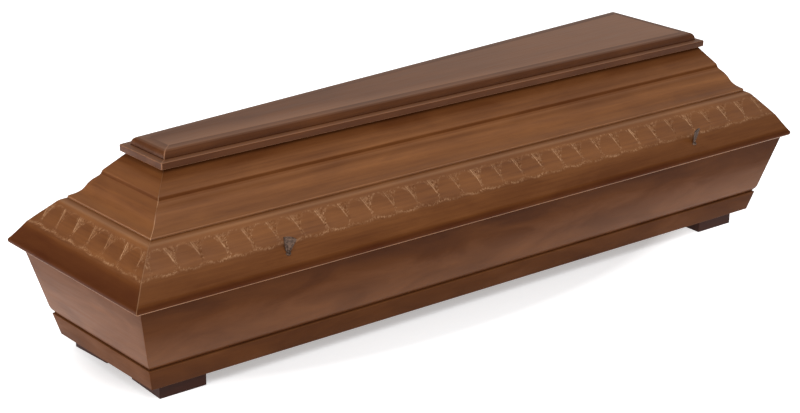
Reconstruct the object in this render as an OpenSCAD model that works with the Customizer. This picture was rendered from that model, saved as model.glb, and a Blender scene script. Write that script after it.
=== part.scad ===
// Wooden coffin with a lift-off lid, in millimetres.
// The foot end is at -X and the head end at +X, and the blocks stand on Z = 0.
// Every board runs along one side of the plan, and its outline is drawn as
// [inset from the rim line, height]. The end boards use the same outlines, with
// the inset multiplied by a rake and less a set-out, so that the mitred corners
// meet exactly.

/* [Plan] */
// Length over the lid's rim
rim_length = 2000; // [1650:10:2200]
// Width over the lid's rim at the foot end
foot_width = 540; // [520:5:650]
// Width over the lid's rim at the head end
head_width = 750; // [640:5:800]

/* [Base] */
// Height of the base walls
wall_height = 222; // [160:1:320]
// How far the lid's rim stands out past the top of the walls
rim_overhang = 25; // [10:1:34]
// How far a side wall leans in for each millimetre down
wall_lean = 0.26; // [0.1:0.01:0.32]
// Thickness of the wall boards, measured level
wall_t = 23; // [18:1:30]
// Height of the plinth band below the routed groove
plinth_height = 52; // [30:1:80]
// Height of the routed groove
groove_height = 5; // [3:0.5:9]
// Depth of the routed groove
groove_depth = 5; // [2:0.5:9]
// Height over which the wall rounds in to the groove
groove_roll = 12; // [6:1:24]
// Thickness of the floor board
floor_t = 18; // [12:1:25]
// Rake of the base's foot end, as a share of a side wall's
base_foot_rake = 0.95; // [0.7:0.01:1]
// Rake of the base's head end, as a share of a side wall's
base_head_rake = 0.91; // [0.6:0.01:1]
// How far the base's head end is set out past that rake's line
base_head_setout = 20; // [0:1:22]

/* [Support blocks] */
// Height of a block
block_height = 36; // [25:1:60]
// Length of a block along the coffin
block_length = 120; // [80:5:180]
// Depth of a block across the coffin
block_depth = 125; // [80:5:140]
// Set-back of a block from the wall's bottom edge at the side
block_side_gap = 16; // [5:1:40]
// Set-back of the foot blocks from the wall's bottom edge at the foot end
block_foot_gap = 28; // [5:1:60]
// Set-back of the head blocks from the wall's bottom edge at the head end
block_head_gap = 46; // [5:1:60]

/* [Lid, lower boards] */
// Thickness of the rounded rim
rim_t = 16; // [12:1:20]
// Level run of the plain slope above the rim
plain_run = 34; // [28:1:44]
// Height of the plain slope above the rim
plain_rise = 39; // [30:1:50]
// Level run of the band that carries the relief
band_run = 53; // [40:1:70]
// Height of the band that carries the relief
band_rise = 51; // [40:1:60]
// Level run of the rounded shelf above the band
shelf_run = 17; // [12:1:24]
// Height of the rounded shelf above the band
shelf_rise = 8; // [6:1:12]
// Thickness of the lower boards, measured level
lower_t = 23; // [18:1:30]
// Rake of the lid's foot end, as a share of a side's
lid_foot_rake = 1.0; // [0.7:0.01:1]
// Rake of the lid's head end, as a share of a side's
lid_head_rake = 0.72; // [0.6:0.01:1]

/* [Lid, upper boards] */
// Height of the square edge that laps the shelf
lap_edge = 5; // [3:0.5:8]
// Level run of the wave between the shelf and the nosing
wave_run = 60; // [50:1:72]
// Height of the wave between the shelf and the nosing
wave_rise = 70; // [60:1:80]
// Level run of the straight slope above the nosing
upper_run = 46; // [36:1:52]
// Height of the straight slope above the nosing
upper_rise = 45; // [36:1:60]
// Thickness of the upper boards, measured level
upper_t = 28; // [22:1:32]

/* [Lid, top board] */
// How far the top board's ledge stands out past the slope below it
ledge_overhang = 15; // [6:1:24]
// Thickness of the ledge
ledge_t = 16; // [12:1:24]
// Width of the flat part of the ledge
ledge_flat = 18; // [12:1:30]
// Level run of the rounded flank of the raised field
field_run = 13; // [8:1:20]
// Height of the raised field above the ledge
field_rise = 18; // [12:1:24]

/* [Coffin screws] */
// Distance of the foot pair from the rim's foot end
screw_from_foot = 395; // [250:5:600]
// Distance of the head pair from the rim's head end
screw_from_head = 345; // [250:5:600]
// Diameter of the shank
shank_d = 7; // [6:0.5:9]
// Depth that the shank goes into the wall
shank_depth = 45; // [25:1:60]
// Diameter of the collar that bears on the lid
collar_d = 15; // [12:1:20]
// Height of the winged head above the collar
wing_height = 42; // [30:1:55]
// Width of the winged head at its top
wing_width = 30; // [22:1:40]
// Thickness of the winged head
wing_t = 4; // [3:0.5:6]
// Clearance round the shank in the lid
shank_clearance = 0.5; // [0.25:0.25:1.5]

/* [Hidden] */

wall_stain = "#6f4630";
plinth_stain = "#5a3222";
block_stain = "#3a2018";
lid_stain = "#7d5034";
metal = "#5d524b";

// Levels from the ground up.
z_base = block_height;
z_floor = z_base + floor_t;
z_plinth = z_base + plinth_height;
z_rim = z_base + wall_height;
z_band = z_rim + rim_t + plain_rise;
z_shelf = z_band + band_rise;
z_lap = z_shelf + shelf_rise;
z_nosing = z_lap + wave_rise;
z_ledge = z_nosing + upper_rise;
z_field = z_ledge + ledge_t;
z_top = z_field + field_rise;

// Insets from the rim line inwards.
s_band = plain_run;
s_shelf = s_band + band_run;
s_lap = s_shelf + shelf_run;
s_nosing = s_lap + wave_run;
s_slope_top = s_nosing + upper_run;
s_ledge = s_slope_top - ledge_overhang;
s_field = s_ledge + ledge_flat + field_run;

// The side walls turn out of parallel by this angle.
taper = atan((head_width - foot_width) / 2 / rim_length);
rim_side = rim_length / cos(taper);
end_span = max(foot_width, head_width) + 20;
past_middle = 2 * rim_length;
function half_width(x) = (foot_width + (head_width - foot_width) * (x / rim_length + 0.5)) / 2;

// An end's fall is its [rake, set-out], and gives its inset from a side's.
base_foot = [base_foot_rake, 0];
base_head = [base_head_rake, base_head_setout];
lid_foot = [lid_foot_rake, 0];
lid_head = [lid_head_rake, 0];
function end_inset(s, fall) = fall[0] * s - fall[1];

// The plan point where a side and an end meet, at an inset from the rim line.
// end is -1 at the foot and 1 at the head; the right side is at -Y.
function corner(s, fall, end) =
    let (x = end * (rim_length / 2 - end_inset(s, fall)))
    [x, -(half_width(x) - s / cos(taper))];
function flip(p) = [p.x, -p.y];

// n steps of a curve that leaves a along a-b and reaches c along b-c.
function bend(a, b, c, n = 6) = [
    for (i = [0 : n]) let (t = i / n)
        (1 - t) * (1 - t) * a + 2 * t * (1 - t) * b + t * t * c
];

// Outlines as [inset, height], each closed by its inner face.
function wall_s(z) = rim_overhang + wall_lean * (z_rim - z);
function wall_outline() =
    let (z_groove = z_plinth + groove_height, z_roll = z_groove + groove_roll)
    concat(
        [[wall_s(z_rim), z_rim]],
        bend([wall_s(z_roll), z_roll], [wall_s(z_groove), z_groove + groove_roll / 3],
             [wall_s(z_groove) + groove_depth, z_groove]),
        [[wall_s(z_plinth) + groove_depth, z_plinth + 1.5], [wall_s(z_plinth), z_plinth],
         [wall_s(z_base), z_base], [wall_s(z_base) + wall_t, z_base],
         [wall_s(z_rim) + wall_t, z_rim]]
    );

function lower_outline() =
    let (r = rim_t / 2, inner = rim_overhang + wall_t,
         rise = (band_rise + shelf_rise) / (band_run + shelf_run),
         z_inner = z_lap - (s_lap + lower_t - inner) * rise)
    concat(
        [for (a = [270 : -15 : 135]) [r + r * cos(a), z_rim + r + r * sin(a)]],
        bend([r * 0.5, z_rim + rim_t - 1], [s_band * 0.6, z_band - plain_rise * 0.5], [s_band, z_band], 8),
        bend([s_shelf - 2, z_shelf - 2 * band_rise / band_run], [s_shelf + 3, z_shelf + 3],
             [s_shelf + 8, z_shelf + shelf_rise * 0.6], 5),
        [[s_lap, z_lap], [s_lap + lower_t, z_lap], [inner, max(z_inner, z_rim + rim_t)], [inner, z_rim]]
    );

function upper_outline() =
    let (u = wave_run / 60, v = wave_rise / 70, z0 = z_lap + lap_edge)
    concat(
        [[s_lap + 1, z_lap], [s_lap + 1, z0]],
        [[s_lap + 3, z0 + 1.5]],
        bend([s_lap + 12 * u, z_lap + 11 * v], [s_lap + 23.5 * u, z_lap + 17 * v],
             [s_lap + 30 * u, z_lap + 27 * v]),
        bend([s_lap + 35 * u, z_lap + 35.5 * v], [s_lap + 40.5 * u, z_lap + 44 * v],
             [s_lap + 47 * u, z_lap + 49.5 * v]),
        bend([s_lap + 54 * u, z_lap + 55.5 * v], [s_lap + 57 * u, z_lap + 58 * v],
             [s_lap + 58.5 * u, z_lap + 61.5 * v], 4),
        bend([s_nosing, z_nosing - 4], [s_nosing + 1, z_nosing - 1], [s_nosing + 3.5, z_nosing + 1.5], 4),
        [[s_slope_top, z_ledge], [s_slope_top + upper_t * 0.85, z_ledge], [s_lap + 1 + upper_t, z_lap]]
    );

// The top board's outline runs past the middle; its four edges are intersected.
function top_outline() =
    let (s_flank = s_ledge + ledge_flat)
    concat(
        [[s_ledge, z_ledge]],
        bend([s_ledge, z_field - 2], [s_ledge, z_field], [s_ledge + 2, z_field], 3),
        bend([s_flank, z_field], [s_flank + 1, z_top - 2], [s_field, z_top], 8),
        [[past_middle, z_top], [past_middle, z_ledge]]
    );

function floor_outline() = [
    [wall_s(z_base) + wall_t, z_base], [wall_s(z_floor) + wall_t, z_floor],
    [past_middle, z_floor], [past_middle, z_base]
];

// An outline run along the right side, the foot end or the head end.
module along_side(outline)
    translate([-rim_length / 2, -foot_width / 2, 0]) rotate([0, 0, -taper])
        rotate([90, 0, 90]) linear_extrude(rim_side) polygon(outline);
module end_run(outline, fall)
    linear_extrude(end_span) polygon([for (p = outline) [end_inset(p.x, fall), p.y]]);
module along_foot(outline, fall)
    translate([-rim_length / 2, end_span / 2, 0]) rotate([90, 0, 0]) end_run(outline, fall);
module along_head(outline, fall)
    translate([rim_length / 2, -end_span / 2, 0]) rotate([90, 0, 180]) end_run(outline, fall);

// The mitred ground that belongs to one side or one end, out to the inset reach.
module side_ground(foot, head, reach)
    linear_extrude(z_top) polygon([
        corner(-5, foot, -1), corner(-5, head, 1), corner(reach, head, 1), corner(reach, foot, -1)
    ]);
module end_ground(fall, end, reach)
    linear_extrude(z_top) polygon([
        corner(-5, fall, end), flip(corner(-5, fall, end)),
        flip(corner(reach, fall, end)), corner(reach, fall, end)
    ]);
module side_board(outline, foot, head, reach)
    intersection() { along_side(outline); side_ground(foot, head, reach); }
module foot_board(outline, fall, reach)
    intersection() { along_foot(outline, fall); end_ground(fall, -1, reach); }
module head_board(outline, fall, reach)
    intersection() { along_head(outline, fall); end_ground(fall, 1, reach); }
module four_edges(outline, foot, head)
    intersection() {
        along_side(outline);
        mirror([0, 1, 0]) along_side(outline);
        along_foot(outline, foot);
        along_head(outline, head);
    }

wall_reach = wall_s(z_base) + wall_t + 2;
lower_reach = s_lap + lower_t + 2;
upper_reach = s_slope_top + upper_t + 2;

// A screw stands in the middle of the wall's thickness and leans as the wall does.
// Its own frame has the wall's top edge at the origin and the axis along Z.
lean = atan(wall_lean);
module at_screw(from_foot)
    translate([-rim_length / 2, -foot_width / 2, 0]) rotate([0, 0, -taper])
        translate([from_foot / cos(taper), rim_overhang + wall_t / 2, z_rim])
            rotate([lean, 0, 0]) children();
screw_rows = [screw_from_foot, rim_length - screw_from_head];

// Height along the axis where it leaves the lid's plain slope.
emerge = (rim_t + plain_rise * (rim_overhang + wall_t / 2) / plain_run)
    / (1 + wall_lean * plain_rise / plain_run) / cos(lean) - 6;

module shank_holes(clearance, below, above)
    for (row = screw_rows)
        at_screw(row) translate([0, 0, -below])
            cylinder(h = below + above, d = shank_d + 2 * clearance, $fn = 48);

// Seat cut in the slope so that the collar bears on a flat.
module collar_seats()
    for (row = screw_rows)
        at_screw(row) translate([0, 0, emerge]) cylinder(h = 60, d = collar_d + 1, $fn = 48);

module coffin_screw(turn) {
    cylinder(h = emerge + shank_depth, d = shank_d, $fn = 48);
    translate([0, 0, emerge + shank_depth]) {
        cylinder(h = 4, d = collar_d, $fn = 48);
        translate([0, 0, 3]) rotate([90, 0, turn]) linear_extrude(wing_t, center = true) wing_shape();
    }
}

// A spade that widens to a gently bowed top.
module wing_shape()
    polygon(concat(
        [[-4, 0]],
        [for (a = [-1 : 0.25 : 1]) [a * wing_width / 2, wing_height - 4 * a * a]],
        [[4, 0]]
    ));

module base_side() color(wall_stain)
    difference() {
        side_board(wall_outline(), base_foot, base_head, wall_reach);
        shank_holes(0, shank_depth, 20);
    }
module base_right_side() base_side();
module base_left_side() mirror([0, 1, 0]) base_side();
module base_foot_end() color(wall_stain) foot_board(wall_outline(), base_foot, wall_reach);
module base_head_end() color(wall_stain) head_board(wall_outline(), base_head, wall_reach);
module base_floor() color(plinth_stain) four_edges(floor_outline(), base_foot, base_head);

// A block under one corner, square to the side wall and set back from both edges.
module support_block(end) color(block_stain) {
    edge = corner(wall_s(z_base), end < 0 ? base_foot : base_head, end);
    gap = end < 0 ? block_foot_gap : block_head_gap;
    translate([edge.x - end * gap, edge.y + block_side_gap + end * gap * tan(taper), 0])
        rotate([0, 0, -taper])
            translate([end < 0 ? 0 : -block_length, 0, 0]) cube([block_length, block_depth, block_height]);
}
module support_block_foot_right() support_block(-1);
module support_block_foot_left() mirror([0, 1, 0]) support_block(-1);
module support_block_head_right() support_block(1);
module support_block_head_left() mirror([0, 1, 0]) support_block(1);

module lid_lower() color(lid_stain)
    difference() {
        side_board(lower_outline(), lid_foot, lid_head, lower_reach);
        shank_holes(shank_clearance, 20, 80);
        collar_seats();
    }
module lid_lower_right() lid_lower();
module lid_lower_left() mirror([0, 1, 0]) lid_lower();
module lid_lower_foot() color(lid_stain) foot_board(lower_outline(), lid_foot, lower_reach);
module lid_lower_head() color(lid_stain) head_board(lower_outline(), lid_head, lower_reach);

module lid_upper() color(lid_stain) side_board(upper_outline(), lid_foot, lid_head, upper_reach);
module lid_upper_right() lid_upper();
module lid_upper_left() mirror([0, 1, 0]) lid_upper();
module lid_upper_foot() color(lid_stain) foot_board(upper_outline(), lid_foot, upper_reach);
module lid_upper_head() color(lid_stain) head_board(upper_outline(), lid_head, upper_reach);
module lid_top_board() color(lid_stain) four_edges(top_outline(), lid_foot, lid_head);

module screw(row, turn) color(metal)
    at_screw(screw_rows[row]) translate([0, 0, -shank_depth]) coffin_screw(turn);
module screw_foot_right() screw(0, -38);
module screw_foot_left() mirror([0, 1, 0]) screw(0, 62);
module screw_head_right() screw(1, 18);
module screw_head_left() mirror([0, 1, 0]) screw(1, -12);

base_right_side();
base_left_side();
base_foot_end();
base_head_end();
base_floor();
support_block_foot_right();
support_block_foot_left();
support_block_head_right();
support_block_head_left();
lid_lower_right();
lid_lower_left();
lid_lower_foot();
lid_lower_head();
lid_upper_right();
lid_upper_left();
lid_upper_foot();
lid_upper_head();
lid_top_board();
screw_foot_right();
screw_foot_left();
screw_head_right();
screw_head_left();
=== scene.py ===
import math

import bpy
import numpy as np
from mathutils import Matrix


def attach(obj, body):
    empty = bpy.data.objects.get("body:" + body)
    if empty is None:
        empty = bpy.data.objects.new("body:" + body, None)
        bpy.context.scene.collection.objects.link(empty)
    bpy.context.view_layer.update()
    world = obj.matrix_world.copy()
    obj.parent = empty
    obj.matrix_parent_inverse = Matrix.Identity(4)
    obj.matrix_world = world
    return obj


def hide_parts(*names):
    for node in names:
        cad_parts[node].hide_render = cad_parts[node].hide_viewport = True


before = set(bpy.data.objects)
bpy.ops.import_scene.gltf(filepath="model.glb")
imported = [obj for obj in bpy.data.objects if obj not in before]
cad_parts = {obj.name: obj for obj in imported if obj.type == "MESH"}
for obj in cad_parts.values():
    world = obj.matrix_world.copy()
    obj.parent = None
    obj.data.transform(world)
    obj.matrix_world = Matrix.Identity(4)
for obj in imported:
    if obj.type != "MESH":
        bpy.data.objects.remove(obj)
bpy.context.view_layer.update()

# ---- Base walls -----------------------------------------------------------------
# Four planed hardwood boards, mitred and glued at the corners, that lean out toward
# the lid. A router has cut the groove that sets off the plinth band along the foot.
# They are stained brown and sprayed with satin lacquer.
RIM_LENGTH, FOOT_WIDTH, HEAD_WIDTH = 2.000, 0.540, 0.750   # plan over the lid's rim
TAPER = math.atan((HEAD_WIDTH - FOOT_WIDTH) / 2 / RIM_LENGTH)
BLOCK_HEIGHT = 0.036
BASE_BOTTOM = BLOCK_HEIGHT
WALL_HEIGHT, WALL_THICK, WALL_LEAN = 0.222, 0.023, 0.26
RIM_OVERHANG = 0.025
PLINTH_HEIGHT = 0.052
GROOVE_HEIGHT, GROOVE_DEPTH, GROOVE_ROLL = 0.005, 0.005, 0.012
BASE_FALLS = {"foot": (0.95, 0.0), "head": (0.91, 0.020)}   # each end's rake and set-out
RIM_BOTTOM = BASE_BOTTOM + WALL_HEIGHT


def bend(a, b, c, steps):
    """A curve that leaves a toward b and reaches c from b: (1-t)^2 a + 2t(1-t) b + t^2 c."""
    t = np.linspace(0.0, 1.0, steps + 1)[:, None]
    return (1 - t) ** 2 * np.array(a) + 2 * t * (1 - t) * np.array(b) + t ** 2 * np.array(c)


def eased(outline, radius, steps=3, turn=20.0):
    """A closed outline whose corners are sanded round: where it turns by more than `turn`
    degrees, the corner is cut back by `radius` on both sides and bridged by a bend."""
    p = np.asarray(outline, float)
    back, ahead = p - np.roll(p, 1, axis=0), np.roll(p, -1, axis=0) - p
    reach_back = np.linalg.norm(back, axis=1, keepdims=True)
    reach_ahead = np.linalg.norm(ahead, axis=1, keepdims=True)
    back, ahead = back / reach_back, ahead / reach_ahead
    corner = (back * ahead).sum(axis=1) < math.cos(math.radians(turn))
    cut = np.minimum(radius, 0.45 * np.minimum(reach_back, reach_ahead))
    t = np.linspace(0.0, 1.0, steps + 1)[None, :, None]
    start, stop = (p - back * cut)[:, None], (p + ahead * cut)[:, None]
    curve = (1 - t) ** 2 * start + 2 * t * (1 - t) * p[:, None] + t ** 2 * stop
    curve[~corner, 0] = p[~corner]
    keep = np.zeros(curve.shape[:2], bool)
    keep[:, 0] = True
    keep[corner] = True
    return curve[keep]


def edge_marks(outline):
    """Wear and shade of each outline point from its curvature: wear grows from 0 on an outward
    edge rounded by 6 mm to 1 on one rounded by 2 mm, and shade, painted shade in the crease, is 1
    in an inward corner tighter than 4 mm."""
    back, ahead = outline - np.roll(outline, 1, axis=0), np.roll(outline, -1, axis=0) - outline
    step = (np.linalg.norm(back, axis=1) + np.linalg.norm(ahead, axis=1)) / 2
    angle = np.arctan2(back[:, 1] * ahead[:, 0] - back[:, 0] * ahead[:, 1], (back * ahead).sum(axis=1))
    curve = angle / np.maximum(step, 4e-4)
    return np.clip(curve * 0.003 - 0.5, 0, 1), np.clip(-curve * 0.004, 0, 1)


def by_steps(values, steps):
    """Interpolates between steps, each a (value, result) pair, and holds the ends' results past them."""
    at, result = zip(*steps)
    return np.interp(values, at, result)


def make_piece(name, points, faces, crease, grain=None, marks=()):
    """A smooth mesh object with creases where its faces turn by more than `crease` degrees. `grain`
    is its UV map, face corner by face corner, and `marks` are named values, point by point."""
    mesh = bpy.data.meshes.new(name)
    mesh.from_pydata(points, [], faces)
    if grain is not None:
        mesh.uv_layers.new(name="grain").data.foreach_set("uv", grain.ravel().astype(np.float32))
    for key, values in marks:
        data = mesh.attributes.new(key, "FLOAT", "POINT").data
        data.foreach_set("value", values.ravel().astype(np.float32))
    mesh.shade_smooth()
    mesh.set_sharp_from_angle(angle=math.radians(crease))
    piece = bpy.data.objects.new(name, mesh)
    bpy.context.scene.collection.objects.link(piece)
    return piece


def half_width(x):
    """Half the plan's width at x: it grows evenly from the foot to the head."""
    return (FOOT_WIDTH + (HEAD_WIDTH - FOOT_WIDTH) * (x / RIM_LENGTH + 0.5)) / 2


def end_inset(s, fall):
    """An end's inset where a side's is s: s times the end's rake, less its set-out."""
    return fall[0] * s - fall[1]


def board_run(side, falls, s, t):
    """Plan place of a board at inset s and share t of its length, and the distance along it.
    A side runs from the foot's mitre to the head's, parallel to the tapered rim line, and an
    end runs from one mitre to the other."""
    c, w = math.cos(TAPER), math.sin(TAPER)
    if side in ("right", "left"):
        start = (end_inset(s, falls["foot"]) - s * w) / c
        stop = (RIM_LENGTH - end_inset(s, falls["head"]) - s * w) / c
        along = start + t * (stop - start)
        x = -RIM_LENGTH / 2 + along * c + s * w
        y = -FOOT_WIDTH / 2 - along * w + s * c
        return x, (y if side == "right" else -y), along
    end = -1 if side == "foot" else 1
    x = end * (RIM_LENGTH / 2 - end_inset(s, falls[side]))
    reach = half_width(x) - s / c
    along = (2 * t - 1) * reach
    return x + 0 * along, end * along, along


def board(name, side, outline, falls, spacing, rubbed, mitre, stain, relief=None):
    """One mitred board: its outline [inset, height] repeated from mitre to mitre, on rings about
    `spacing` apart, and capped. The last rings draw in by up to 0.7 mm, so that the mitre's edge
    is sanded round. `rubbed` says how far the arrises are rubbed bright, `mitre` how far the
    mitre's edge is brightened at each outline point, as rubbing and as painted highlight, `stain`
    is the shade there, real stain and painted shade together, and `relief` raises, brightens and
    darkens points. The UV map is in metres, along and round the board, and each board has its own
    stretch of it."""
    n = len(outline)
    length = {"foot": FOOT_WIDTH, "head": HEAD_WIDTH}.get(side, RIM_LENGTH)
    ends = np.array([0.0, 0.0005, 0.0012, 0.0024]) / length
    drawn_in = [0.0007, 0.00025, 0.00006, 0.0]
    rings = max(2, round((1 - 2 * ends[-1]) * length / spacing))
    t = np.concatenate([ends, np.linspace(ends[-1], 1 - ends[-1], rings + 1)[1:-1], 1 - ends[::-1]])
    draw = np.interp(np.minimum(t, 1 - t), ends, drawn_in)
    tangent = np.roll(outline, -1, axis=0) - np.roll(outline, 1, axis=0)
    normal = np.stack([-tangent[:, 1], tangent[:, 0]], axis=1)
    normal /= np.linalg.norm(tangent, axis=1, keepdims=True)
    lift = -np.repeat(draw[:, None], n, axis=1)
    wear_and_highlight, shade = (np.repeat(m[None], len(t), axis=0) for m in edge_marks(outline))
    wear_and_highlight = np.maximum(wear_and_highlight * rubbed, np.interp(draw, [0, 0.00025], [0, 1])[:, None] * mitre)
    shade = np.maximum(shade, stain[None])
    if relief is not None:
        along = board_run(side, falls, outline[None, :, 0], t[:, None])[2]
        height, bright, dark = relief(along, outline)
        lift, wear_and_highlight, shade = lift + height, np.maximum(wear_and_highlight, bright), np.maximum(shade, dark)
    s = outline[None, :, 0] + lift * normal[None, :, 0]
    z = outline[None, :, 1] + lift * normal[None, :, 1]
    x, y, along = board_run(side, falls, s, np.repeat(t[:, None], n, axis=1))
    points = np.stack([x, y, z], axis=2).reshape(-1, 3)

    i, j = np.meshgrid(np.arange(len(t) - 1), np.arange(n), indexing="ij")
    k = (j + 1) % n
    quads = np.stack([i * n + j, (i + 1) * n + j, (i + 1) * n + k, i * n + k], axis=2).reshape(-1, 4)
    steps = np.linalg.norm(np.roll(outline, -1, axis=0) - outline, axis=1)
    round_way = np.concatenate([[0.0], np.cumsum(steps)])
    row, col = np.stack([i, i + 1, i + 1, i], axis=2), np.stack([j, j, k, k], axis=2)
    uv = np.stack([along[row, col], round_way[np.stack([j, j, j + 1, j + 1], axis=2)]], axis=3)
    uv = [uv.reshape(-1, 4, 2), outline, outline[::-1]]
    faces = [*quads.tolist(), list(range(n)), ((len(t) - 1) * n + np.arange(n)[::-1]).tolist()]
    if side == "left":
        faces = [f[::-1] for f in faces]
        uv = [uv[0][:, ::-1], outline[::-1], outline]
    own_stretch = 3.7 * ["right", "left", "foot", "head"].index(side)
    grain = np.concatenate([part.reshape(-1, 2) for part in uv]) + [own_stretch, 0.0]
    return make_piece(name, points, faces, 38, grain, [("wear_and_highlight", wear_and_highlight), ("shade", shade)])


def linear(hex_colour):
    """An sRGB hex colour as linear red, green, blue and an alpha of 1."""
    value = np.array([int(hex_colour[i:i + 2], 16) for i in (1, 3, 5)]) / 255
    return (*np.where(value <= 0.04045, value / 12.92, ((value + 0.055) / 1.055) ** 2.4), 1.0)


def add_node(tree, kind, settings=None, inputs=None):
    """Adds one node with its settings; an input is a value, or an output socket to link, and its
    key is the input's name, or its number where a node has several inputs of one name."""
    node = tree.nodes.new(kind)
    for key, value in (settings or {}).items():
        setattr(node, key, value)
    for key, value in (inputs or {}).items():
        if isinstance(value, bpy.types.NodeSocket):
            tree.links.new(value, node.inputs[key])
        else:
            node.inputs[key].default_value = value
    return node


def stained_wood(name, light, dark, deep, roughness, cloudy, worn_and_highlit=None):
    """Close-grained hardwood under brown stain and satin lacquer. Soft clouds of stain about
    200 mm by 70 mm, figure 35 mm wide and 600 mm long, streaks 7 mm wide and 200 mm long, and
    pores 1.6 mm wide, coarser than real ones so that they show; `cloudy` is the clouds' share.
    Where `worn_and_highlit`, the colour of rubbed edges and of painted highlights, is given, the grain
    follows the piece's UV map, its shade mark, real stain and painted shade together, darkens the colour
    toward the deep one and dulls the gloss, and its wear mark, rubbing and painted highlight
    together, brings that colour out; otherwise the grain runs along X and there are no such marks."""
    material = bpy.data.materials.new(name)
    material.use_nodes = True
    tree = material.node_tree
    surface = tree.nodes["Principled BSDF"]
    if worn_and_highlit:
        place = add_node(tree, "ShaderNodeUVMap", {"uv_map": "grain"}).outputs["UV"]
    else:
        place = add_node(tree, "ShaderNodeTexCoord").outputs["Object"]
    grain = {}
    for key, along, across, detail, warp in (
        ("cloud", 5.0, 14.0, 4.0, 0.6), ("figure", 1.7, 28.0, 3.0, 0.5),
        ("streak", 5.0, 140.0, 4.0, 0.3), ("pore", 28.0, 620.0, 2.0, 0.0),
    ):
        scaled = add_node(tree, "ShaderNodeMapping", None, {
            "Vector": place, "Scale": (along, across, across)}).outputs["Vector"]
        grain[key] = add_node(tree, "ShaderNodeTexNoise", None, {
            "Vector": scaled, "Scale": 1.0, "Detail": detail, "Roughness": 0.55, "Distortion": warp,
        }).outputs["Fac"]
    lines = add_node(tree, "ShaderNodeMix", None, {
        0: 0.5, 2: grain["streak"], 3: grain["figure"]}).outputs[0]
    mixed = add_node(tree, "ShaderNodeMix", None, {0: cloudy, 2: lines, 3: grain["cloud"]}).outputs[0]
    ramp = add_node(tree, "ShaderNodeValToRGB", None, {"Fac": mixed})
    ramp.color_ramp.elements[0].position, ramp.color_ramp.elements[0].color = 0.38, linear(dark)
    ramp.color_ramp.elements[1].position, ramp.color_ramp.elements[1].color = 0.62, linear(light)
    pores = add_node(tree, "ShaderNodeMapRange", None, {
        "Value": grain["pore"], "From Min": 0.60, "From Max": 0.74, "To Min": 0.0, "To Max": 0.25})
    colour = add_node(tree, "ShaderNodeMix", {"data_type": "RGBA"}, {
        0: pores.outputs[0], 6: ramp.outputs["Color"], 7: linear(deep)}).outputs[2]
    if worn_and_highlit:
        shade = add_node(tree, "ShaderNodeAttribute", {"attribute_name": "shade"}).outputs["Fac"]
        uneven = add_node(tree, "ShaderNodeMapRange", None, {
            "Value": grain["cloud"], "From Min": 0.3, "From Max": 0.7, "To Min": 1.08, "To Max": 0.92})
        # The shade mark, made uneven by the clouds: real stain and painted shade, which also dull the
        # gloss.
        stain_and_shade = add_node(tree, "ShaderNodeMath", {"operation": "MULTIPLY", "use_clamp": True}, {
            0: shade, 1: uneven.outputs[0]})
        colour = add_node(tree, "ShaderNodeMix", {"data_type": "RGBA"}, {
            0: stain_and_shade.outputs[0], 6: colour, 7: linear(deep)}).outputs[2]
        # The wear mark: rubbed edges and painted highlights, mixed toward the worn colour.
        wear_and_highlight = add_node(tree, "ShaderNodeAttribute", {"attribute_name": "wear_and_highlight"}).outputs["Fac"]
        colour = add_node(tree, "ShaderNodeMix", {"data_type": "RGBA"}, {
            0: wear_and_highlight, 6: colour, 7: linear(worn_and_highlit)}).outputs[2]
        shine = add_node(tree, "ShaderNodeMapRange", None, {
            "Value": stain_and_shade.outputs[0], "From Max": 0.6, "To Min": 0.32, "To Max": 0.03})
        tree.links.new(shine.outputs[0], surface.inputs["Specular IOR Level"])
    tree.links.new(colour, surface.inputs["Base Color"])
    gloss = add_node(tree, "ShaderNodeMapRange", None, {
        "Value": grain["streak"], "From Min": 0.3, "From Max": 0.7,
        "To Min": roughness - 0.05, "To Max": roughness + 0.05})
    tree.links.new(gloss.outputs[0], surface.inputs["Roughness"])
    height = add_node(tree, "ShaderNodeMix", None, {
        0: 0.4, 2: grain["streak"], 3: grain["pore"]}).outputs[0]
    bump = add_node(tree, "ShaderNodeBump", None, {"Strength": 0.2, "Distance": 0.0004, "Height": height})
    tree.links.new(bump.outputs["Normal"], surface.inputs["Normal"])
    surface.inputs["IOR"].default_value = 1.5
    if not worn_and_highlit:
        surface.inputs["Specular IOR Level"].default_value = 0.12
    return material


def wall_inset(z):
    """Inset of the wall's outer face at height z: it leans in toward the bottom."""
    return RIM_OVERHANG + WALL_LEAN * (RIM_BOTTOM - z)


plinth_top = BASE_BOTTOM + PLINTH_HEIGHT
groove_top = plinth_top + GROOVE_HEIGHT
roll_top = groove_top + GROOVE_ROLL
wall_outline = eased(np.concatenate([
    [(wall_inset(BASE_BOTTOM) + WALL_THICK, BASE_BOTTOM), (wall_inset(RIM_BOTTOM) + WALL_THICK, RIM_BOTTOM),
     (wall_inset(RIM_BOTTOM), RIM_BOTTOM)],
    bend((wall_inset(roll_top), roll_top), (wall_inset(groove_top), groove_top + GROOVE_ROLL / 3),
         (wall_inset(groove_top) + GROOVE_DEPTH, groove_top), 8),
    [(wall_inset(plinth_top) + GROOVE_DEPTH, plinth_top + 0.0015), (wall_inset(plinth_top), plinth_top),
     (wall_inset(BASE_BOTTOM), BASE_BOTTOM)],
]), 0.0012)[::-1]


def wall_stain_and_shade(outline, plinth, rim_shadow):
    """Shade on the walls by height: darker stain on the plinth, painted shade in the groove that
    fades up the wall above it, and a painted shadow cast by the rim over the upper fifth."""
    s, z = outline.T
    shade = by_steps(z, [
        (plinth_top - 0.001, plinth), (plinth_top + 0.001, 0.5), (groove_top, 0.5), (roll_top, 0.35),
        (roll_top + 0.01, 0.2), (RIM_BOTTOM - 0.042, 0.0), (RIM_BOTTOM - 0.018, rim_shadow),
        (RIM_BOTTOM, rim_shadow + 0.05)])
    return shade * (s < wall_inset(z) + GROOVE_DEPTH + 0.002)


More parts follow.
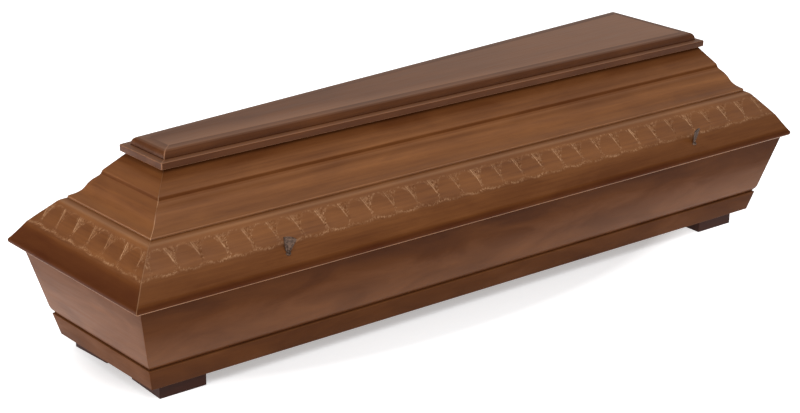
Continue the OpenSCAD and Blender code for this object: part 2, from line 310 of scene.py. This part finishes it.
wall_wood = stained_wood(
    "stained_wall_wood", "#7b4a24", "#693e1e", "#2a110a", 0.42, 0.7, worn_and_highlit="#9a6c44")
# rim_shadow is the painted shadow under the rim, deeper on the sides than at the ends.
for side, node, plinth, rim_shadow in (
    ("right", "base_right_side", 0.62, 0.72), ("left", "base_left_side", 0.62, 0.72),
    ("foot", "base_foot_end", 0.6, 0.5), ("head", "base_head_end", 0.6, 0.5),
):
    wall = board("wall_" + side, side, wall_outline, BASE_FALLS, 0.03, 0.1, 0.0,
                 wall_stain_and_shade(wall_outline, plinth, rim_shadow))
    wall.data.materials.append(wall_wood)
    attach(wall, "root")
    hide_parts(node)

# ---- Base floor -----------------------------------------------------------------
# A plain board let in between the walls, stained but not polished, since it shows only
# from below and from inside.
floor_wood = stained_wood("stained_floor_wood", "#5f402c", "#4b3020", "#2c160c", 0.6, 0.4)
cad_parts["base_floor"].data.materials.clear()
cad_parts["base_floor"].data.materials.append(floor_wood)

# ---- Support blocks -------------------------------------------------------------
# Four sawn blocks screwed up into the floor under the corners, dark stained and darkened
# further as painted shade under the base, with their edges knocked off.
BLOCK_LENGTH, BLOCK_DEPTH = 0.120, 0.125
BLOCK_SIDE_GAP = 0.016
BLOCK_END_GAPS = {"foot": 0.028, "head": 0.046}
block_wood = stained_wood("dark_block_wood", "#381b11", "#2b140c", "#140705", 0.5, 0.4)


def block(name, end_name, hand):
    """A box set square to the side wall: its near corner lies inside the wall's bottom corner."""
    end, inset, gap = (-1 if end_name == "foot" else 1), wall_inset(BASE_BOTTOM), BLOCK_END_GAPS[end_name]
    x = end * (RIM_LENGTH / 2 - end_inset(inset, BASE_FALLS[end_name]))
    y = -(half_width(x) - inset / math.cos(TAPER))
    corner = np.array([x - end * gap, y + BLOCK_SIDE_GAP + end * gap * math.tan(TAPER)])
    a = np.array([0.0, BLOCK_LENGTH]) - (BLOCK_LENGTH if end > 0 else 0.0)
    a, b, z = np.meshgrid(a, [0.0, BLOCK_DEPTH], [0.0, BLOCK_HEIGHT], indexing="ij")
    c, w = math.cos(TAPER), math.sin(TAPER)
    px, py = corner[0] + a * c + b * w, corner[1] - a * w + b * c
    points = np.stack([px, py * hand, z], axis=3).reshape(-1, 3)
    faces = [(0, 1, 3, 2), (4, 6, 7, 5), (0, 4, 5, 1), (2, 3, 7, 6), (0, 2, 6, 4), (1, 5, 7, 3)]
    if hand < 0:
        faces = [f[::-1] for f in faces]
    piece = make_piece(name, points, faces, 30)
    edge = piece.modifiers.new("knocked_off_edges", "BEVEL")
    edge.width, edge.segments, edge.limit_method = 0.0015, 2, "ANGLE"
    return piece


for end_name in ("foot", "head"):
    for hand_name, hand in (("right", 1), ("left", -1)):
        piece = block(f"block_{end_name}_{hand_name}", end_name, hand)
        piece.data.materials.append(block_wood)
        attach(piece, "root")
        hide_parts(f"support_block_{end_name}_{hand_name}")

# ---- Lid, lower boards ----------------------------------------------------------
# Four moulded boards round the lid's skirt. Each has a rounded rim, a hollow plain slope
# in dark stain, a band with a pressed relief of ovals and leaf sprays, and a rounded shelf.
RIM_THICK = 0.016
PLAIN_RUN, PLAIN_RISE = 0.034, 0.039
BAND_RUN, BAND_RISE = 0.053, 0.051
SHELF_RUN, SHELF_RISE = 0.017, 0.008
LOWER_THICK = 0.023
LID_FALLS = {"foot": (1.0, 0.0), "head": (0.72, 0.0)}
band_s, shelf_s = PLAIN_RUN, PLAIN_RUN + BAND_RUN
lap_s = shelf_s + SHELF_RUN
band_z = RIM_BOTTOM + RIM_THICK + PLAIN_RISE
shelf_z = band_z + BAND_RISE
lap_z = shelf_z + SHELF_RISE
BAND_WIDTH = math.hypot(BAND_RUN, BAND_RISE)

nose = RIM_THICK / 2
nose_turn = np.radians(np.arange(270, 134, -22.5))
inner_s = RIM_OVERHANG + WALL_THICK
inner_z = lap_z - (lap_s + LOWER_THICK - inner_s) * (BAND_RISE + SHELF_RISE) / (BAND_RUN + SHELF_RUN)
band_end = (shelf_s - 0.002, shelf_z - 0.002 * BAND_RISE / BAND_RUN)
lower_outline = eased(np.concatenate([
    [(inner_s, max(inner_z, RIM_BOTTOM + RIM_THICK)), (inner_s, RIM_BOTTOM)],
    np.stack([nose + nose * np.cos(nose_turn), RIM_BOTTOM + nose + nose * np.sin(nose_turn)], axis=1),
    bend((nose * 0.5, RIM_BOTTOM + RIM_THICK - 0.001), (band_s * 0.6, band_z - PLAIN_RISE * 0.5),
         (band_s, band_z), 6),
    np.linspace((band_s, band_z), band_end, 40)[1:-1],
    bend(band_end, (shelf_s + 0.003, shelf_z + 0.003), (shelf_s + 0.008, shelf_z + SHELF_RISE * 0.6), 4),
    [(lap_s, lap_z), (lap_s + LOWER_THICK, lap_z)],
]), 0.0012, steps=2)

PITCH = 64.5                                    # mm from one oval to the next
OVAL_MIDDLE, OVAL_HALF_WIDTH, OVAL_HALF_HEIGHT = 38.0, 21.5, 29.0   # mm, middle above the band's foot


def fade(values, start, length):
    """0 before `start`, 1 from start + length on, and even between; a negative length fades down."""
    return np.clip((values - start) / length, 0, 1)


def band_relief(along, outline):
    """Height, brightness and darkness of the pressed relief, worked out in millimetres: mm runs up
    the band from its foot, a along the board, x from the nearest oval's middle, and e from the
    line between two ovals. Strokes are Gaussian bumps round e = line(mm), which is narrow at
    mm = 26 and widens above and below like a waist; they are clear at x > 0, the side that catches
    the light, and the specks break them up at x < 0. Random specks about 2.5 mm across stipple the
    spray between the ovals, the arch over each and the hem below. The raised parts are brightened,
    as rubbing and as painted highlight, most on the strokes of the lit side. Each oval is a low
    swelling, and a line along the shelf and one along the rim are brightened, as rubbing and as
    painted highlight."""
    s, z = outline.T
    w = ((s - band_s) * BAND_RUN + (z - band_z) * BAND_RISE) / BAND_WIDTH
    off = abs((s - band_s) * BAND_RISE - (z - band_z) * BAND_RUN) / BAND_WIDTH
    w = np.where(off < 0.0006, w, -1.0)[None]
    on = fade(w, 0.0005, 0.002) * fade(w, BAND_WIDTH - 0.003, -0.003)
    mm, a = w * 1000, along * 1000
    x = ((a / PITCH) % 1.0 - 0.5) * PITCH
    e = PITCH / 2 - abs(x)

    column = np.floor(a / 2.4 + 0.6 * np.sin(mm * 0.9)).astype(int)
    row = np.floor(np.clip(mm, 0, 80) / 2.6 + 0.6 * np.sin(a * 0.8)).astype(int)
    stipple = np.random.default_rng(11).random((1000, 40))[column % 1000, row % 40]
    speck, pit = fade(stipple, 0.45, 0.3), fade(stipple, 0.45, -0.2)

    line = 1.5 + 11 * fade(mm, 26, 42) ** 1.2 + 5 * fade(mm, 26, -20) ** 1.2
    upper = fade(mm, 26, 8) * fade(mm, 68, -4)
    span = fade(mm, 10, 4) * fade(mm, 69, -5)
    # Painted highlight: strokes on this side, which catches the light, are bright along their whole length.
    lit_side = x > 0
    stroke = np.exp(-((e - line) / 0.65) ** 2) * span
    stroke = stroke * np.where(lit_side, upper + 0.4 * (1 - upper) * speck, 0.5 * speck)
    second = np.exp(-((e - line + 4.6) / 0.6) ** 2) * (line > 6)
    second = second * np.where(lit_side, upper * 0.8, 0.3 * speck * span)
    spray = (e < line + 2) * span * fade(mm, 14, 8)
    from_oval = np.sqrt((x / OVAL_HALF_WIDTH) ** 2 + ((mm - OVAL_MIDDLE) / OVAL_HALF_HEIGHT) ** 2)
    arch = np.exp(-((from_oval - 1.04) / 0.088) ** 2) * fade(mm, 46, 10)
    hem = np.exp(-((mm - 7 - 2.5 * np.sin(a * 2 * np.pi / PITCH + 1.2)) / 3.6) ** 2)

    swell = 0.75 + 0.25 * np.sin(a * 0.061 + 1.3 * np.sin(a * 0.017))
    stippled = np.maximum.reduce([0.16 * spray, 0.2 * arch, 0.3 * hem]) * speck
    ridge = np.maximum.reduce([0.8 * stroke, 0.6 * second, stippled]) * swell * on
    hollow = np.maximum.reduce([0.5 * spray, 0.3 * arch, 0.5 * hem]) * pit * on
    oval = np.clip(1 - from_oval ** 2, 0, 1) * on
    # Painted highlights with some rubbing: a bright line on the shelf's rounded edge and one on the rim's
    # lower arris, where they catch the light.
    shelf_wear_and_highlight = 0.12 * np.exp(-((z - shelf_z - 0.0035) / 0.0016) ** 2) * (s < lap_s)
    rim_wear_and_highlight = 0.30 * fade(z, RIM_BOTTOM + 0.0035, -0.001) * (s < inner_s - 0.001)
    bright = np.maximum(np.clip(ridge, 0, 1), (shelf_wear_and_highlight + rim_wear_and_highlight)[None])
    return ridge * 0.0006 + oval * 0.0005 - hollow * 0.0003, bright, 0.7 * hollow


def lower_stain_and_shade(outline, slope, band):
    """Shade on the skirt by height: the rim is darker above its lower edge, the plain slope was
    sprayed darker and that darkening fades out over the lowest part of the band, and painted
    shade lies in the joint at the top."""
    return by_steps(outline[:, 1], [
        (RIM_BOTTOM + 0.003, 0.0), (RIM_BOTTOM + 0.005, 0.9), (RIM_BOTTOM + 0.014, 0.85),
        (RIM_BOTTOM + 0.02, slope), (band_z - 0.012, slope * 0.9), (band_z + 0.002, 0.38),
        (band_z + 0.012, band), (shelf_z - 0.012, band + 0.1), (shelf_z, band * 0.5),
        (lap_z - 0.002, band * 0.5), (lap_z, 0.35)])


lid_wood = stained_wood(
    "stained_lid_wood", "#7f4e25", "#673c1b", "#3c1a0a", 0.40, 0.35, worn_and_highlit="#dcae84")
# The end boards get larger slope and band values: painted shade on the ends.
for side, slope, band in (
    ("right", 0.48, 0.06), ("left", 0.48, 0.06), ("foot", 0.88, 0.26), ("head", 0.88, 0.26),
):
    skirt = board("lid_lower_board_" + side, side, lower_outline, LID_FALLS, 0.0017, 0.3, 0.2,
                  lower_stain_and_shade(lower_outline, slope, band), band_relief)
    skirt.data.materials.append(lid_wood)
    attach(skirt, "root")
    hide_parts("lid_lower_" + side)

# ---- Lid, upper boards ----------------------------------------------------------
# Four moulded boards that lap the shelf of the lower ones with a square edge, swell and
# hollow in a wave up to a nosing, and go on as a straight slope under the top board.
LAP_EDGE = 0.005
WAVE_RUN, WAVE_RISE = 0.060, 0.070
UPPER_RUN, UPPER_RISE = 0.046, 0.045
UPPER_THICK = 0.028
nosing_s, nosing_z = lap_s + WAVE_RUN, lap_z + WAVE_RISE
slope_s, ledge_z = nosing_s + UPPER_RUN, nosing_z + UPPER_RISE
lap = np.array([lap_s, lap_z])
upper_outline = eased(np.concatenate([
    lap + [(0.001 + UPPER_THICK, 0), (0.001, 0), (0.001, LAP_EDGE), (0.003, LAP_EDGE + 0.0015)],
    lap + bend((0.012, 0.011), (0.0235, 0.017), (0.030, 0.027), 10),
    lap + bend((0.035, 0.0355), (0.0405, 0.044), (0.047, 0.0495), 10),
    lap + bend((0.054, 0.0555), (0.057, 0.058), (0.0585, 0.0615), 5),
    lap + bend((0.060, 0.066), (0.061, 0.069), (0.0635, 0.0715), 5),
    np.linspace((nosing_s + 0.0035, nosing_z + 0.0015), (slope_s, ledge_z), 10)[1:],
    [(slope_s + UPPER_THICK * 0.85, ledge_z)],
]), 0.0012)


def upper_stain_and_shade(outline):
    """Shade on the upper boards by height above the lap: painted shade lies in the joint, in the lee
    of the wave's crest and under the nosing, and the slope gets darker up to the ledge."""
    return by_steps(outline[:, 1] - lap_z, [
        (0.0, 0.2), (0.003, 0.1), (0.009, 0.0), (0.040, 0.0), (0.050, 0.3), (0.055, 0.0), (0.0585, 0.0),
        (0.0615, 0.7), (0.0655, 0.7), (0.069, 0.0), (0.076, 0.25), (0.088, 0.3), (0.094, 0.55),
        (0.108, 0.65), (0.113, 0.95)])


# How bright the mitre's edge is, by height above the lap: rubbing, and painted highlights on the lower part
# of the wave and on the nosing, where the rounded edge catches the light.
upper_mitre_wear_and_highlight = by_steps(upper_outline[:, 1] - lap_z, [
    (0.0, 0.2), (0.004, 0.6), (0.03, 0.6), (0.04, 0.15), (0.05, 0.1), (0.056, 0.6), (0.064, 0.6),
    (0.07, 0.1)])
# The end boards are darkened throughout as well: painted shade.
for side, end_shade in (("right", 0.0), ("left", 0.0), ("foot", 0.25), ("head", 0.25)):
    upper = board("lid_upper_board_" + side, side, upper_outline, LID_FALLS, 0.03, 0.12, upper_mitre_wear_and_highlight,
                  np.maximum(upper_stain_and_shade(upper_outline), end_shade))
    upper.data.materials.append(lid_wood)
    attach(upper, "root")
    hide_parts("lid_upper_" + side)

# ---- Lid, top board -------------------------------------------------------------
# One solid board that closes the lid. Its edge is moulded to a flat ledge and a rounded
# flank up to the raised field, and the ledge stands out past the slope below.
LEDGE_OVERHANG, LEDGE_THICK, LEDGE_FLAT = 0.015, 0.016, 0.018
FIELD_RUN, FIELD_RISE = 0.013, 0.018
ledge_s, field_z = slope_s - LEDGE_OVERHANG, ledge_z + LEDGE_THICK
top_z = field_z + FIELD_RISE
flank_s = ledge_s + LEDGE_FLAT
field_s = flank_s + FIELD_RUN


def closed_loops(loops):
    """Points and faces of a stack of closed loops, with the first and last closed flat."""
    m, n = loops.shape[:2]
    i, j = np.meshgrid(np.arange(m - 1), np.arange(n), indexing="ij")
    k = (j + 1) % n
    quads = np.stack([i * n + j, i * n + k, (i + 1) * n + k, (i + 1) * n + j], axis=2).reshape(-1, 4)
    first, last = np.arange(n)[::-1], (m - 1) * n + np.arange(n)
    return loops.reshape(-1, 3), [*quads.tolist(), first.tolist(), last.tolist()]


def top_board(name):
    """Loops round the plan, one for each [inset, height] of the moulded edge: each loop has its
    four corners rounded by 2.5 mm, and the first and last are closed flat. The edge's two points
    at inset 0.25 only close it for easing, and the four points that each becomes are left out."""
    edge = eased(np.concatenate([
        [(0.25, ledge_z), (ledge_s + 0.06, ledge_z), (ledge_s, ledge_z)],
        bend((ledge_s, field_z - 0.002), (ledge_s, field_z), (ledge_s + 0.002, field_z), 3),
        bend((flank_s, field_z), (flank_s + 0.001, top_z - 0.002), (field_s, top_z), 8),
        [(field_s + 0.02, top_z), (0.25, top_z)],
    ]), 0.0012)[4:-4]
    s, z = edge.T
    corners = []
    for end, hand in ((-1, 1), (1, 1), (1, -1), (-1, -1)):
        x = end * (RIM_LENGTH / 2 - end_inset(s, LID_FALLS["foot" if end < 0 else "head"]))
        corners.append(np.stack([x, -hand * (half_width(x) - s / math.cos(TAPER))], axis=1))
    corners = np.stack(corners, axis=1)
    ahead = np.roll(corners, -1, axis=1) - corners
    ahead /= np.linalg.norm(ahead, axis=2, keepdims=True)
    back = np.roll(ahead, 1, axis=1)
    rounding, across = 0.0025, 5
    t = np.linspace(0, 1, across)[None, None, :, None]
    a, b, c = ((corners + way)[:, :, None] for way in (-back * rounding, 0.0, ahead * rounding))
    loop = ((1 - t) ** 2 * a + 2 * t * (1 - t) * b + t ** 2 * c).reshape(len(s), -1, 2)
    n = loop.shape[1]
    points, faces = closed_loops(np.concatenate([loop, np.repeat(z[:, None, None], n, axis=1)], axis=2))

    wear_and_highlight, shade = edge_marks(edge)
    # Painted shade on the ledge's side and on the flank, which face outward; a painted sheen lightens the
    # ledge's flat and the field toward its edge; and the plan's rounded corners are rubbed bright with a
    # painted highlight.
    ledge_side = (s < ledge_s + 0.0005) & (z < field_z - 0.001)
    flank = (s > flank_s - 0.001) & (z < top_z - 0.002)
    shade = np.maximum(shade, np.select([ledge_side, flank], [0.45, 0.4], 0.0))
    painted_sheen = by_steps(s, [
        (ledge_s + 0.001, 0.0), (ledge_s + 0.002, 0.12), (flank_s - 0.001, 0.12), (flank_s, 0.0),
        (field_s - 0.002, 0.0), (field_s, 0.2), (field_s + 0.02, 0.04)]) * (z > ledge_z + 0.002)
    corner = np.tile([0.0, 0.4, 0.4, 0.4, 0.0], (len(s), 4)) * (np.arange(len(s)) > 0)[:, None]
    wear_and_highlight = np.maximum(np.maximum(0.4 * wear_and_highlight, painted_sheen)[:, None], corner)
    spot = points[np.concatenate(faces)]
    own_stretch = 9.1
    over_edge = spot[:, 1] + np.sign(spot[:, 1]) * (top_z - spot[:, 2])
    grain = np.stack([spot[:, 0] + own_stretch, over_edge], axis=1)
    shade = np.repeat(shade[:, None], n, axis=1)
    return make_piece(name, points, faces, 38, grain, [("wear_and_highlight", wear_and_highlight), ("shade", shade)])


top_wood = stained_wood("stained_top_wood", "#653a19", "#522d12", "#30130a", 0.40, 0.5, worn_and_highlit="#b08060")
top = top_board("lid_top")
top.data.materials.append(top_wood)
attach(top, "root")
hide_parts("lid_top_board")

# ---- Coffin screws --------------------------------------------------------------
# Four cast screws with a flat winged head, finished as antique metal. Each goes down through
# the slope of the lid into a wall, and its collar bears on a seat cut in the slope.
SCREW_FROM_FOOT, SCREW_FROM_HEAD = 0.395, 0.345
SHANK_RADIUS, SHANK_DEPTH = 0.0035, 0.045
COLLAR_RADIUS = 0.0075
WING_HEIGHT, WING_WIDTH, WING_THICK = 0.042, 0.030, 0.004
SEAT_DEPTH = 0.006
lean = math.atan(WALL_LEAN)
# Height up the leaning shank, from the wall's top edge to the seat in the lid's slope.
emerge = ((RIM_THICK + PLAIN_RISE * (RIM_OVERHANG + WALL_THICK / 2) / PLAIN_RUN)
          / (1 + WALL_LEAN * PLAIN_RISE / PLAIN_RUN)) / math.cos(lean) - SEAT_DEPTH


def turned(profile, n=24):
    """Loops of a turned part: each [radius, height] of the profile goes round in a circle."""
    a = np.linspace(0, 2 * np.pi, n, endpoint=False)
    r, z = np.asarray(profile, float).T
    return np.stack([np.outer(r, np.cos(a)), np.outer(r, np.sin(a)), np.outer(z, np.ones(n))], axis=2)


def wing_loops():
    """Loops up the winged head. A loop is a flattened oval, p across and the thickness by the
    superellipse (1-|p|^6)^(1/2); the width grows from 8 mm to the full one, and the top bows by
    4 mm. The faces are sunk inside a border, and three ridges fan out up them from the foot."""
    q = np.concatenate([np.linspace(0, 0.94, 34), [0.965, 0.985, 1.0]])[:, None]
    a = np.linspace(0, 2 * np.pi, 64, endpoint=False)[None]
    p = np.sign(np.cos(a)) * abs(np.cos(a)) ** 0.6
    half = 0.004 + (WING_WIDTH / 2 - 0.004) * q ** 0.9
    edge = np.minimum((1 - abs(p)) * half, (1 - q) * WING_HEIGHT)
    sunk = np.clip((edge - 0.0012) / 0.0015, 0, 1) * np.clip(q / 0.15, 0, 1)
    ridges = np.cos(7 * np.arcsin(np.clip(p, -1, 1))) * 0.00035 * sunk
    thick = WING_THICK / 2 - 0.0011 * sunk + ridges
    thick = thick * np.sqrt(np.clip(1 - abs(p) ** 6, 0, 1)) * np.sqrt(np.clip((1.012 - q) / 0.05, 0, 1))
    return np.stack([p * half, np.sign(np.sin(a)) * thick * (abs(np.sin(a)) > 1e-6),
                     q * (WING_HEIGHT - 0.004 * p ** 2)], axis=2)


def coffin_screw(name, from_foot, turn, hand):
    """The screw's loops in its own frame, with the wall's top edge at 0 and the shank along Z, then
    leaned out with the wall, moved to its row, turned by the taper, and mirrored for the left side."""
    c, w = math.cos(math.radians(turn)), math.sin(math.radians(turn))
    wing = wing_loops()
    wing = np.stack([wing[..., 0] * c - wing[..., 1] * w, wing[..., 0] * w + wing[..., 1] * c,
                     wing[..., 2] + emerge + 0.003], axis=2)
    shank = turned([(SHANK_RADIUS, -SHANK_DEPTH), (SHANK_RADIUS, emerge + 0.001)])
    collar = turned([
        (COLLAR_RADIUS - 0.0005, emerge), (COLLAR_RADIUS, emerge + 0.0006),
        (COLLAR_RADIUS, emerge + 0.0024), (COLLAR_RADIUS - 0.001, emerge + 0.0036),
        (0.004, emerge + 0.0042)])
    points, faces, count = [], [], 0
    for loops in (shank, collar, wing):
        some, its_faces = closed_loops(loops)
        points.append(some)
        faces += [[v + count for v in f] for f in its_faces]
        count += len(some)
    x, y, z = np.concatenate(points).T
    y, z = y * math.cos(lean) - z * math.sin(lean), y * math.sin(lean) + z * math.cos(lean)
    x, y, z = x + from_foot / math.cos(TAPER), y + RIM_OVERHANG + WALL_THICK / 2, z + RIM_BOTTOM
    c, w = math.cos(TAPER), math.sin(TAPER)
    x, y = x * c + y * w - RIM_LENGTH / 2, -x * w + y * c - FOOT_WIDTH / 2
    if hand < 0:
        faces = [f[::-1] for f in faces]
    return make_piece(name, np.stack([x, y * hand, z], axis=1), faces, 45)


def antique_metal(name):
    """Cast zinc alloy with a brown antique finish: dull grey-brown, darker in blotches about 6 mm
    across, with a grainy cast skin and a soft metallic gloss."""
    material = bpy.data.materials.new(name)
    material.use_nodes = True
    tree = material.node_tree
    surface = tree.nodes["Principled BSDF"]
    place = add_node(tree, "ShaderNodeTexCoord").outputs["Object"]
    tarnish = add_node(tree, "ShaderNodeTexNoise", None, {"Vector": place, "Scale": 160.0, "Detail": 4.0})
    skin = add_node(tree, "ShaderNodeTexNoise", None, {"Vector": place, "Scale": 900.0, "Detail": 2.0})
    ramp = add_node(tree, "ShaderNodeValToRGB", None, {"Fac": tarnish.outputs["Fac"]})
    ramp.color_ramp.elements[0].position, ramp.color_ramp.elements[0].color = 0.35, linear("#36271f")
    ramp.color_ramp.elements[1].position, ramp.color_ramp.elements[1].color = 0.65, linear("#6c5547")
    tree.links.new(ramp.outputs["Color"], surface.inputs["Base Color"])
    bump = add_node(tree, "ShaderNodeBump", None, {
        "Strength": 0.3, "Distance": 0.0003, "Height": skin.outputs["Fac"]})
    tree.links.new(bump.outputs["Normal"], surface.inputs["Normal"])
    surface.inputs["Metallic"].default_value = 0.7
    surface.inputs["Roughness"].default_value = 0.45
    return material


screw_metal = antique_metal("antique_screw_metal")
for name, from_foot, turn, hand in (
    ("foot_right", SCREW_FROM_FOOT, -38, 1),
    ("foot_left", SCREW_FROM_FOOT, 62, -1),
    ("head_right", RIM_LENGTH - SCREW_FROM_HEAD, 18, 1),
    ("head_left", RIM_LENGTH - SCREW_FROM_HEAD, -12, -1),
):
    piece = coffin_screw("coffin_screw_" + name, from_foot, turn, hand)
    piece.data.materials.append(screw_metal)
    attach(piece, "root")
    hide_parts("screw_" + name)

# ---- Studio ---------------------------------------------------------------------
# A white floor that glows more strongly away from the coffin, so that it has no horizon, a
# soft sky that is brightest overhead, a large lamp to the front and left, and a low one at
# the foot end.
FLOOR_REACH = 40.0
# The oval that glows less is a painted shadow round the coffin.
GLOW_LENGTH, GLOW_WIDTH = 1.0, 0.38     # half sizes of the oval, near the coffin, that glows less
floor_mesh = bpy.data.meshes.new("studio_floor")
floor_corners = [(x * FLOOR_REACH, y * FLOOR_REACH, 0) for x, y in ((-1, -1), (1, -1), (1, 1), (-1, 1))]
floor_mesh.from_pydata(floor_corners, [], [(0, 1, 2, 3)])
studio_floor = bpy.data.objects.new("studio_floor", floor_mesh)
bpy.context.scene.collection.objects.link(studio_floor)
paper = bpy.data.materials.new("white_studio_paper")
paper.use_nodes = True
paper_tree = paper.node_tree
paper_surface = paper_tree.nodes["Principled BSDF"]
spot = add_node(paper_tree, "ShaderNodeTexCoord").outputs["Object"]
oval = add_node(paper_tree, "ShaderNodeMapping", None, {
    "Vector": spot, "Scale": (1 / GLOW_LENGTH, 1 / GLOW_WIDTH, 1.0)}).outputs[0]
far = add_node(paper_tree, "ShaderNodeVectorMath", {"operation": "LENGTH"}, {0: oval}).outputs["Value"]
glow = add_node(paper_tree, "ShaderNodeMapRange", None, {
    "Value": far, "From Min": 0.85, "From Max": 1.12, "To Min": 0.4, "To Max": 0.98}).outputs[0]
paper_tree.links.new(glow, paper_surface.inputs["Emission Strength"])
paper_surface.inputs["Emission Color"].default_value = (1, 1, 1, 1)
paper_surface.inputs["Base Color"].default_value = linear("#e2e4e6")
paper_surface.inputs["Roughness"].default_value = 0.9
paper_surface.inputs["Specular IOR Level"].default_value = 0.0
floor_mesh.materials.append(paper)

world = bpy.data.worlds.new("soft_studio")
bpy.context.scene.world = world
world.use_nodes = True
sky = world.node_tree.nodes["Background"]
direction = add_node(world.node_tree, "ShaderNodeTexCoord").outputs["Generated"]
facing = add_node(world.node_tree, "ShaderNodeVectorMath", {"operation": "DOT_PRODUCT"}, {
    0: direction, 1: (0.25, -0.30, 0.92)}).outputs["Value"]
bright = add_node(world.node_tree, "ShaderNodeMapRange", None, {
    "Value": facing, "From Min": -0.2, "From Max": 0.9, "To Min": 0.25, "To Max": 0.65})
world.node_tree.links.new(bright.outputs[0], sky.inputs["Strength"])
sky.inputs["Color"].default_value = (1, 1, 1, 1)


def lamp(name, place, target, size, power):
    """A square area lamp at `place` that faces `target`."""
    light = bpy.data.lights.new(name, "AREA")
    light.size, light.energy = size, power
    thing = bpy.data.objects.new(name, light)
    bpy.context.scene.collection.objects.link(thing)
    back = np.array(place, float) - np.array(target, float)
    back /= np.linalg.norm(back)
    side = np.cross([0.0, 1.0, 0.0] if abs(back[2]) > 0.95 else [0.0, 0.0, 1.0], back)
    side /= np.linalg.norm(side)
    up = np.cross(back, side)
    matrix = np.eye(4)
    matrix[:3, 0], matrix[:3, 1], matrix[:3, 2], matrix[:3, 3] = side, up, back, place
    thing.matrix_world = Matrix(matrix)
    return thing


lamp("key_lamp", (-1.5, -2.5, 3.6), (0, 0, 0.3), 2.0, 90)
lamp("foot_lamp", (-3.4, 1.2, 0.25), (-1, 0, 0.15), 0.5, 60)

# ---- Camera ---------------------------------------------------------------------
# Millimetres for the sensor and the lens, degrees for the angles and metres for the place.
camera_data = bpy.data.cameras.new("camera")
camera_data.sensor_width, camera_data.lens = 36.0, 83.36
camera = bpy.data.objects.new("camera", camera_data)
bpy.context.scene.collection.objects.link(camera)
yaw, pitch, roll = (math.radians(v) for v in (40.37, 20.75, 0.32))
look = np.array([math.sin(yaw) * math.cos(pitch), math.cos(yaw) * math.cos(pitch), -math.sin(pitch)])
level = np.array([math.cos(yaw), -math.sin(yaw), 0.0])
upright = np.cross(level, look)
matrix = np.eye(4)
matrix[:3, 0] = level * math.cos(roll) + upright * math.sin(roll)
matrix[:3, 1] = upright * math.cos(roll) - level * math.sin(roll)
matrix[:3, 2] = -look
matrix[:3, 3] = (-2.8553, -3.2928, 1.836)
camera.matrix_world = Matrix(matrix)
bpy.context.scene.camera = camera
bpy.context.scene.view_settings.view_transform = "Standard"
